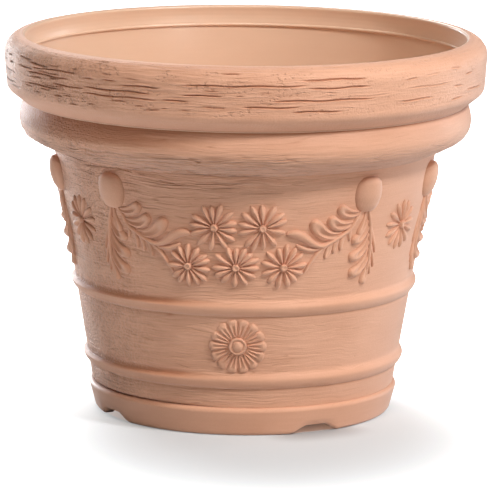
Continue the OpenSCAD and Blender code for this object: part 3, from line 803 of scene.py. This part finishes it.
# Rim: hewn on its outer face, smooth over the crest and inside
under_x = RIM_R - FACE_LEAN - UNDER_ROUND
slope = radians(UNDER_SLOPE)
under_z = (GROOVE_Z + (under_x + UNDER_ROUND * sin(slope) - GROOVE_R) * tan(slope)
           + UNDER_ROUND * cos(slope))
top_x, top_z = RIM_R - RIM_ROUND, CREST_Z - RIM_ROUND
lip_x, lip_z = LIP_R + LIP_T / 2, NECK_Z + LIP_T / 2
crest = arc(top_x, CREST_Z - CREST_ROUND, CREST_ROUND, 110, 170, 6)
lip = arc(lip_x, lip_z, LIP_T / 2, 75, 270, 12)
(crest_r, crest_z), (lip_r, lip_top_z) = crest[-1], lip[0]
band = [(crest_r * (1 - t) + lip_r * t + BAND_HOLLOW * sin(pi * t), crest_z * (1 - t) + lip_top_z * t)
        for t in (0.25, 0.5, 0.75)]
rim_corners = (
    [(GROOVE_R, GROOVE_Z)]
    + arc(under_x, under_z, UNDER_ROUND, UNDER_SLOPE - 90, 0, 16) + arc(top_x, top_z, RIM_ROUND, 0, 90, 50)
    + crest + band + lip + [(NECK_TOP_R, NECK_Z), (NECK_TOP_R + NECK_T, NECK_Z)])


def rim_hewn(r, z):
    return ramp(r, top_x + 2, top_x + 9) * ramp(z, under_z - 5, under_z + 3)


def rim_face_r(z):
    if z > top_z:
        return top_x + sqrt(max(RIM_ROUND ** 2 - (z - top_z) ** 2, 0))
    return RIM_R - FACE_LEAN * (top_z - z) / (top_z - under_z)


# Cracks of the rim's front: first and last bearing in degrees, height and how far the line stands off
# the clay, in millimetres. The further off, the finer the crack. The other cracks are drawn in rows
FRONT_CRACKS = [
    (-60, -51, 377.5, 0.1), (-55, -40, 375.5, 0.1), (-61, -42.5, 368.5, 0), (-62, -45.5, 356.6, 0.1),
    (-50, -38.5, 361.5, 0.1), (-39.5, -18, 357.4, 0), (-49, -45.5, 349.5, 0.3),
    (-44, -40.5, 344.3, 0.3), (-38, -35.5, 347.3, 0.4), (-33.5, -29, 372.6, 0.3), (-39, -20, 363.3, 0),
    (-28.5, -18, 369.4, 0.1), (-24.5, -22, 349.6, 0.4), (-22, -18, 346.8, 0.3),
    (-39, -35.5, 372.2, 0.4), (-58, -53.5, 374, 0.3), (-51, -46.5, 366.6, 0.3), (-14, 17, 373.9, 0),
    (-13.5, -3, 363.6, 0.1), (-18, -11, 357.4, 0.2), (-18, -16, 348.5, 0.4), (-13.5, -11, 348, 0.4),
    (-4, 1, 386.3, 0.6), (14, 31, 379.6, 0), (15.5, 32, 371, 0), (7, 33.5, 358.8, 0),
    (0.5, 15, 352.6, 0.1), (12, 25.5, 347.7, 0.1), (-1, 2, 364, 0.5), (-31, -26, 353, 0.5),
    (-9, -2, 352.2, 0.5), (-66, -58, 380.5, 0.4), (-52, -46, 380, 0.5), (-66, -57, 371.5, 0.3),
    (-56, -46, 371.5, 0.4), (-60, -53, 364, 0.3), (-55, -44, 359, 0.5), (-63, -58, 353, 0.4),
    (-55, -50, 353.5, 0.5), (-58, -54, 349.5, 0.4), (-46, -42, 352, 0.5), (-43, -40, 380.2, 0.6),
    (-34, -30, 378.8, 0.6), (-27, -23, 376, 0.6), (-8, -4, 368, 0.6), (4, 9, 367, 0.7),
    (20, 24, 366, 0.7), (23, 39, 361.2, 0.8), (40, 60, 364.6, 0.7), (41, 46, 374.3, 0.5),
    (47, 54, 376.4, 0.8), (57, 63, 378, 0.6), (39, 52, 352.6, 0.4), (59, 64, 359, 0.5),
    (58, 64.5, 346.3, 0.4), (64.5, 69.5, 368.8, 0.5), (65, 78, 351.6, 0.5),
]
CRACK_ROWS = [344.4, 347.6, 349.6, 352.6, 357.3, 361.6, 363.7, 368.5, 371.2, 374, 377, 379.6]
CRACKS_FROM = 80
CRACKS_TO = 288
CRACK_STEPS = 1.5
CRACK_WAVE = 0.45
CRACK_SHAKE = 0.12
CRACK_END = 1.3


def crack_line(first, last, z, off, chance):
    """A crack with pointed ends: its ends stand off the surface, so that it fades there."""
    steps = max(3, round((last - first) * CRACK_STEPS))
    rise, phase = chance.uniform(-0.5, 0.5), chance.uniform(0, 6)
    line = []
    for i in range(steps + 1):
        share = i / steps
        height = (z + rise * (share - 0.5) + CRACK_WAVE * sin(phase + share * steps * 0.35)
                  + chance.uniform(-CRACK_SHAKE, CRACK_SHAKE))
        r = rim_face_r(height) + off + CRACK_END * abs(2 * share - 1) ** 5
        turn = radians(first + (last - first) * share)
        line.append((r * MM * sin(turn), -r * MM * cos(turn), height * MM))
    return line


chance = random.Random(7)
cracks = [crack_line(*crack, chance) for crack in FRONT_CRACKS]
for z in CRACK_ROWS:
    bearing = CRACKS_FROM + chance.uniform(0, 25)
    while bearing < CRACKS_TO:
        last = bearing + chance.choice((3, 5, 9, 14, 22))
        height = z + chance.uniform(-0.8, 0.8)
        cracks.append(crack_line(bearing, last, height, chance.uniform(0, 0.6), chance))
        bearing = last + chance.uniform(3, 24)
turned("rim", ("rim_cap",), rim_corners,
       lambda r, z: 0.55 if r > 240 and z > 338 else 1.2, hewn_clay, 440,
       {"Stroke Depth": 1.2, "Stroke Run": 90, "Stroke Pitch": 6, "Crack Depth": 1.9,
        "Crack Half Width": 1.05},
       cracks, stroke=rim_hewn, hewn=rim_hewn, inside=lambda r, z: r < top_x - 1, seam=groove_at)

# Foot: a smooth ring with four drain notches
recess_r = FOOT_R - FOOT_TUCK - TREAD_W
foot_corners = (
    [(recess_r, 0)]
    + arc(FOOT_R - FOOT_TUCK - FOOT_ROUND, FOOT_ROUND, FOOT_ROUND, -90, -20, 10)
    + arc(FOOT_R - FOOT_EDGE, FOOT_Z - FOOT_EDGE, FOOT_EDGE, 0, 90, 8)
    + [(WALL_FOOT_R - WALL_T, FOOT_Z), (wall_r(FLOOR_Z) - WALL_T, FLOOR_Z),
       (wall_r(FLOOR_Z) - WALL_T, RECESS_Z), (recess_r, RECESS_Z)])
turned("foot", ("foot_ring",), foot_corners, lambda r, z: 1.5, smooth_clay, 480, {"Notch Lift": NOTCH_H})
plate_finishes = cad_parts["floor_plate"].data.materials
plate_finishes.clear()
plate_finishes.append(inside_clay_painted_paler)


def flower(node, bearing, z, petals, jitter, seed, **shape):
    """A flower head. petals are (bearing in degrees from the right, reach in millimetres)."""
    name = node + "_head"
    chance = random.Random(seed)
    spread = lambda size: [chance.uniform(-size, size) for _ in petals]
    mesh = base_mesh(name + "_bearings", [(i * MM, 0, 0) for i in range(len(petals))], [], {
        "bearing": [radians(turn) for turn, _ in petals],
        "bend": [radians(b) for b in spread(3 * jitter)],
        "long": [reach * MM for _, reach in petals], "broad": [1 + b for b in spread(0.1 * jitter)]})
    piece = grow(name, mesh, flower_head, {
        "Bearing": radians(bearing), "Height": z * MM, "Finish": pressed_clay, **shape}, sharp=60)
    settle(piece, "terracotta_ornament", node)


def way(points, count):
    """count + 1 places along a smooth line through the points, evenly spread from end to end."""
    def place(t):
        t = min(max(t, 0), 1) * (len(points) - 1)
        i = min(int(t), len(points) - 2)
        f = t - i
        before = points[max(i - 1, 0)]
        after = points[min(i + 2, len(points) - 1)]
        a, b = points[i], points[i + 1]
        return [0.5 * (2 * a[k] + (b[k] - before[k]) * f
                       + (2 * before[k] - 5 * a[k] + 4 * b[k] - after[k]) * f * f
                       + (3 * a[k] - before[k] - 3 * b[k] + after[k]) * f ** 3) for k in (0, 1)]
    return [place(i / count) for i in range(count + 1)]


def shape_at(t, points):
    """The straight-line value at t between given (t, value) points."""
    for (t0, v0), (t1, v1) in zip(points, points[1:]):
        if t <= t1:
            return v0 + (v1 - v0) * (t - t0) / (t1 - t0)
    return points[-1][1]


LOBE = [(0, 0), (0.05, 0.45), (0.3, 0.7), (0.55, 0.92), (0.75, 1), (0.9, 0.84), (0.97, 0.52), (1, 0)]
LOBE_RISE = [(0, 0.35), (0.3, 0.65), (0.6, 0.92), (0.82, 1), (0.94, 0.8), (1, 0)]
STEM = [(0, 0), (0.05, 0.7), (0.3, 1), (0.7, 1), (0.95, 0.7), (1, 0)]
STEM_RISE = [(0, 0.5), (0.2, 1), (0.8, 1), (0.97, 0.6), (1, 0)]
SWELLED = [(0, 0), (0.05, 0.4), (0.3, 0.62), (0.6, 1), (0.8, 0.95), (0.93, 0.6), (1, 0)]
POINT = [(0, 0), (0.05, 0.6), (0.35, 1), (0.7, 0.75), (0.93, 0.3), (1, 0)]
KNOB = [(0, 0), (0.02, 0.3), (0.08, 0.6), (0.2, 0.88), (0.36, 1), (0.56, 1), (0.75, 0.86), (0.88, 0.68),
        (0.96, 0.46), (1, 0)]
KNOB_RISE = [(0, 0), (0.02, 0.3), (0.07, 0.6), (0.18, 0.88), (0.36, 1), (0.55, 1), (0.75, 0.82), (0.9, 0.5),
             (0.97, 0.3), (1, 0)]
FINE_STEPS = 200


def leaves(node, kind, bearing, side, parts, around=16):
    """Parts are (points, half width, rise, slot, width shape, rise shape, steps)."""
    name = node + kind
    points, edges, rows = [], [], []
    for line, half, rise, slot, width_shape, rise_shape, steps in parts:
        first = len(points)
        spread = [0.5 - 0.5 * cos(pi * i / steps) for i in range(steps + 1)]
        fine = way(line, FINE_STEPS)
        for i, t in enumerate(spread):
            u, v = fine[round(t * FINE_STEPS)]
            points.append((u * MM, v * MM, 0))
            rows.append((half * MM * shape_at(t, width_shape), rise * MM * shape_at(t, rise_shape), slot))
            if i:
                edges.append((first + i - 1, first + i))
    values = dict(zip(("half", "rise", "slot"), zip(*rows)))
    piece = grow(name, base_mesh(name + "_paths", points, edges, values), leaves_along_paths, {
        "Around": around, "Bearing": radians(bearing), "Height": KNOB_Z * MM, "Side": float(side),
        "Finish": pressed_clay}, sharp=60)
    settle(piece, "terracotta_ornament", node)


def lobe(points, half, rise):
    return points, half, rise, 0.85, LOBE, LOBE_RISE, 12


def blade(points, half, rise, steps=8, slot=0):
    return points, half, rise, slot, POINT, LOBE_RISE, steps


def stem(points, half, rise, steps):
    return points, half, rise, 0, STEM, STEM_RISE, steps


SPRAY = [
    stem([(6, -14), (14, -27), (20, -35), (30, -41), (39, -46), (48, -51), (55, -58), (62, -70),
          (66, -78)], 2.5, 4, 20),
    lobe([(9, -18), (18, -18.5), (28, -15.5), (36, -9.5)], 6.4, 6.6),
    lobe([(15, -28), (25, -30), (36, -28.5), (46, -20)], 6.8, 6.8),
    lobe([(27, -39), (42, -39.5), (54, -33.5), (64, -22)], 7.6, 7),
    blade([(17, -33), (18.5, -40), (18, -47)], 2.6, 3),
    blade([(24, -39), (27.5, -48), (28, -57)], 3.2, 3.6),
    blade([(31, -42), (35, -50), (36, -59)], 3.4, 3.6),
    blade([(39, -47), (42, -56), (45, -64)], 4.2, 4, slot=0.5),
    ([(39, -45.5), (50, -49.5), (60, -46.5), (72, -38.5), (81, -35), (90, -35.5)],
     5, 6, 0, SWELLED, STEM_RISE, 18),
    stem([(50, -52), (61, -53), (70, -51), (78, -47)], 2.8, 4, 12),
]
DROP = [
    stem([(-2, -15), (-6, -30), (-9, -46), (-10.5, -64), (-10, -82)], 2.4, 4, 14),
    ([(0, -16), (1, -26), (4, -35), (9, -42)], 4.4, 5, 0.6, SWELLED, LOBE_RISE, 10),
    lobe([(-6, -26), (-2, -37), (6, -45), (15.5, -47)], 5.8, 6),
    lobe([(-9, -40), (-4, -53), (5, -62), (16.5, -65)], 6.4, 6.2),
    lobe([(-10.5, -55), (-6, -69), (3, -79), (14, -82)], 6.6, 6),
    ([(-10.5, -70), (-9.5, -80), (-7, -88), (-5, -95)], 4.8, 4.6, 0.5, LOBE, LOBE_RISE, 10),
    blade([(-7, -30), (-12, -42), (-16, -54), (-18.5, -64)], 2.3, 3.2, 10),
    blade([(-9, -46), (-13.5, -58), (-17, -70), (-18.5, -79)], 2.3, 3.2, 10),
    blade([(-10.5, -62), (-13, -74), (-14.5, -86)], 2.3, 3, 10),
]
EGG = [([(0, 19.5), (0, 0), (0, -18)], 17.5, 10.2, 0, KNOB, KNOB_RISE, 24)]


def evenly(count, start, reach):
    return [(start + 360 / count * i, reach) for i in range(count)]


# Petals of the festoon's daisies: bearing from the right in degrees, reach in millimetres
UPPER_LEFT = [
    (119, 26), (95, 23.5), (71, 26.5), (42, 26.5), (14, 24), (-7, 23.5), (-33, 24.5), (-61, 25),
    (-97, 24.5), (-131, 26), (-164, 26.5), (173, 26.5), (150.5, 26.5)]
UPPER_RIGHT = [
    (115, 27), (90.5, 25.5), (63.5, 27), (37.5, 27), (16.5, 26.5), (-13, 24), (-53, 24),
    (-85, 22.5), (-114, 26.5), (-132, 26.5), (-168, 26), (169, 25.5), (143.5, 27)]
LOWER_LEFT = [
    (89, 24), (59.5, 23.5), (33, 24), (17, 24), (-9.5, 23.5), (-36, 24), (-58, 22.5), (-90, 21),
    (-120.5, 21), (-142.5, 21.5), (177, 23.5), (141.5, 22.5), (113.5, 23.5)]
LOWER_MIDDLE = [
    (114.5, 24), (90, 21.5), (65.5, 23.5), (46, 23), (24.5, 25.5), (-0.5, 24), (-29.5, 22.5),
    (-60, 21.5), (-95.5, 21), (-131, 21.5), (-157.5, 24.5), (-179, 24.5), (149, 25.5)]
LOWER_RIGHT = [
    (108, 22), (82.5, 25.5), (57.5, 24.5), (33, 25), (5, 25), (-21, 22.5), (-46, 21), (-73.5, 22),
    (-107, 23), (-135.5, 22.5), (-164.5, 24), (167.5, 24), (137.5, 25)]

for number in range(3):
    middle = FESTOON_TURN * number
    mark = str(number + 1)
    places = [("upper_left", -UPPER_TURN, UPPER_ROW_Z, UPPER_LEFT),
              ("upper_right", UPPER_TURN, UPPER_ROW_Z, UPPER_RIGHT),
              ("lower_left", -ROW_TURN - 0.7, ROW_Z, LOWER_LEFT),
              ("lower_middle", -0.7, ROW_Z, LOWER_MIDDLE),
              ("lower_right", ROW_TURN - 0.9, ROW_Z, LOWER_RIGHT)]
    for order, (where, turn, z, petals) in enumerate(places):
        flower("daisy_" + mark + "_" + where, middle + turn, z, petals, 1, 10 * number + order + 1)
    flower("bay_daisy_" + mark, middle + FESTOON_TURN / 2, BAY_Z, evenly(13, 90, BAY_R), 1,
           100 + number, Rise=4 * MM)
    flower("rosette_" + mark, middle, ROSETTE_Z, evenly(14, 90 + 180 / 14, ROSETTE_R), 0.1, 200 + number,
           **{"Inner": 9.2 * MM, "Half Width": 5.9 * MM, "Rise": 4.4 * MM, "Slot": 0.85, "Wedge": 1.0,
              "Middle Radius": 9.4 * MM, "Middle Rise": 5.4 * MM})
    for hand, side in (("left", -1), ("right", 1)):
        ends = "_" + mark + "_" + hand
        bearing = middle + side * KNOB_BEARING
        leaves("knob" + ends, "_egg", bearing, -side, EGG, around=24)
        leaves("leaf_spray" + ends, "_leaves", bearing, -side, SPRAY)
        leaves("leaf_drop" + ends, "_leaves", bearing, -side, DROP)

# Floor: paper that is overexposed to plain white for the camera, as in the photograph, but for the
# pot's shadow. The pairs are squared distances in metres, between which a share rises from 0 to 1
FLOOR_HALF = 14
COOL, WARM_SHADE = (0.95, 0.985, 1, 1), (1, 0.55, 0.38, 1)
UNDER_THE_POT = (0.0226, 0.0213)
NEAR_ITS_EDGE = (0.0125, 0.0205)
CLOSE_TO_FOOT = (0.039, 0.0228)
ROUND_THE_NOTCH = (0.03, 0.012)
BY_THE_NOTCH = (0.0042, 0.0003)
NOTCH_OUT = 0.165
floor_mesh = bpy.data.meshes.new("studio_floor")
corners = [(x * FLOOR_HALF, y * FLOOR_HALF, 0) for x, y in ((-1, -1), (1, -1), (1, 1), (-1, 1))]
floor_mesh.from_pydata(corners, [], [(0, 1, 2, 3)])
floor = added("studio_floor", floor_mesh)
paper, sheet, shader = finish_named("white_paper")
fill(shader, {"Base Color": (0.55, 0.58, 0.605, 1), "Roughness": 0.8, "Specular IOR Level": 0.1})
across, ahead, _ = sheet.split(sheet.wire("ShaderNodeTexCoord", out="Object"))
away_from_shadow = ((across - 0.03) / 0.26) ** 2.0 + ((ahead + 0.15) / 0.32) ** 2.0
from_axis = across * across + ahead * ahead
notch_turn = radians(NOTCH_BEARING)
from_notch = ((across - NOTCH_OUT * sin(notch_turn)) ** 2.0
              + (ahead + NOTCH_OUT * cos(notch_turn)) ** 2.0)
# Painted shade: under the pot the camera sees the paper tinted warm and dimmed, darker deep under it and
# strongest round the right notch, and a painted shadow dims the paper in front of that notch
under_the_pot = sheet.step(from_axis, *UNDER_THE_POT)
painted_notch_shadow = (sheet.step(from_notch, *BY_THE_NOTCH) * sheet.step(from_axis, *CLOSE_TO_FOOT)
                * (1.0 - under_the_pot))
tint = sheet.blend(under_the_pot * (0.35 + sheet.step(from_notch, *ROUND_THE_NOTCH) * 0.65), COOL, WARM_SHADE)
brightness = (0.2 + sheet.step(away_from_shadow, 0.05, 1.6) * 1.2
              + under_the_pot * (sheet.step(from_axis, *NEAR_ITS_EDGE) * 0.16 - 0.08) - painted_notch_shadow * 0.27)
seen = sheet.wire("ShaderNodeLightPath", out="Is Camera Ray")
glow = sheet.wire("ShaderNodeEmission", {"Color": tint, "Strength": seen * brightness})
lit = sheet.wire("ShaderNodeAddShader", {0: Wire(sheet, shader.outputs[0]), 1: glow})
sheet.feed(sheet.tree.nodes["Material Output"].inputs["Surface"], lit)
floor_mesh.materials.append(paper)

# Camera: the photograph's long lens, looking down by ten degrees. Its aim is in the photograph's pixels
CAMERA_DISTANCE = 5.0
CAMERA_RISE = radians(10.08)
CAMERA_TURN = radians(1.8)
CAMERA_ROLL = radians(0.61)
FOCAL_PIXELS = 4793
PHOTO_PIXELS = 500
SENSOR_W = 36
AIM_RIGHT = 6.1
AIM_DOWN = 28.7
target = Vector((0, 0, 0.195))
away = toward(CAMERA_TURN, CAMERA_RISE)
eye = target + away * CAMERA_DISTANCE
right = Vector((cos(CAMERA_TURN), sin(CAMERA_TURN), 0))
up = away.cross(right)
aim = (target + right * (AIM_RIGHT / FOCAL_PIXELS * CAMERA_DISTANCE)
       - up * (AIM_DOWN / FOCAL_PIXELS * CAMERA_DISTANCE))
back = (eye - aim).normalized()
side_axis = up.cross(back).normalized()
up_axis = back.cross(side_axis)
facing = Matrix((side_axis, up_axis, back)).transposed() @ Matrix.Rotation(CAMERA_ROLL, 3, "Z")
camera_data = bpy.data.cameras.new("camera")
camera_data.sensor_width = SENSOR_W
camera_data.lens = FOCAL_PIXELS / PHOTO_PIXELS * SENSOR_W
camera_data.clip_end = 100
camera = added("camera", camera_data)
camera.matrix_world = Matrix.Translation(eye) @ facing.to_4x4()
scene.camera = camera

# Lights
LIGHT_DISTANCE = 3.0
LIT_PLACE = Vector((0, 0, 0.2))


def lamp(name, kind, **settings):
    data = bpy.data.lights.new(name, kind)
    for key, value in settings.items():
        setattr(data, key, value)
    return added(name, data)


def area(name, bearing, rise, size, power, colour=(1, 1, 1)):
    """A soft panel at a bearing from the front, in degrees, that faces the pot."""
    panel = lamp(name, "AREA", shape="SQUARE", size=size, energy=power, color=colour)
    spot = toward(radians(bearing), radians(rise)) * LIGHT_DISTANCE + LIT_PLACE
    facing = (spot - LIT_PLACE).to_track_quat("Z", "Y").to_matrix().to_4x4()
    panel.matrix_world = Matrix.Translation(spot) @ facing


area("key_panel", 50, 41, 0.45, 52)
area("high_panel", 4, 56, 1.1, 29, (1, 0.85, 0.73))
area("side_panel", 36, 6, 0.7, 11, (1, 0.93, 0.87))
area("left_back_panel", -148, 2, 0.8, 84, (0.95, 0.97, 1))
area("right_back_panel", 120, 4, 0.8, 27, (0.95, 0.97, 1))
area("back_panel", -164, 32, 0.9, 28)
area("top_panel", 0, 88, 1.5, 8)
# A lamp that lights only the paper left of the pot, which throws its light up under the collar
lamp("paper_lamp", "SPOT", energy=280, color=(1, 0.94, 0.9), spot_size=radians(38), spot_blend=0.6,
     shadow_soft_size=0.1).location = (-0.8, -0.3, 1.6)
world = bpy.data.worlds.new("studio")
world.use_nodes = True
fill(world.node_tree.nodes["Background"], {"Color": (1, 1, 1, 1), "Strength": 0.05})
scene.world = world
scene.view_settings.view_transform = "Standard"
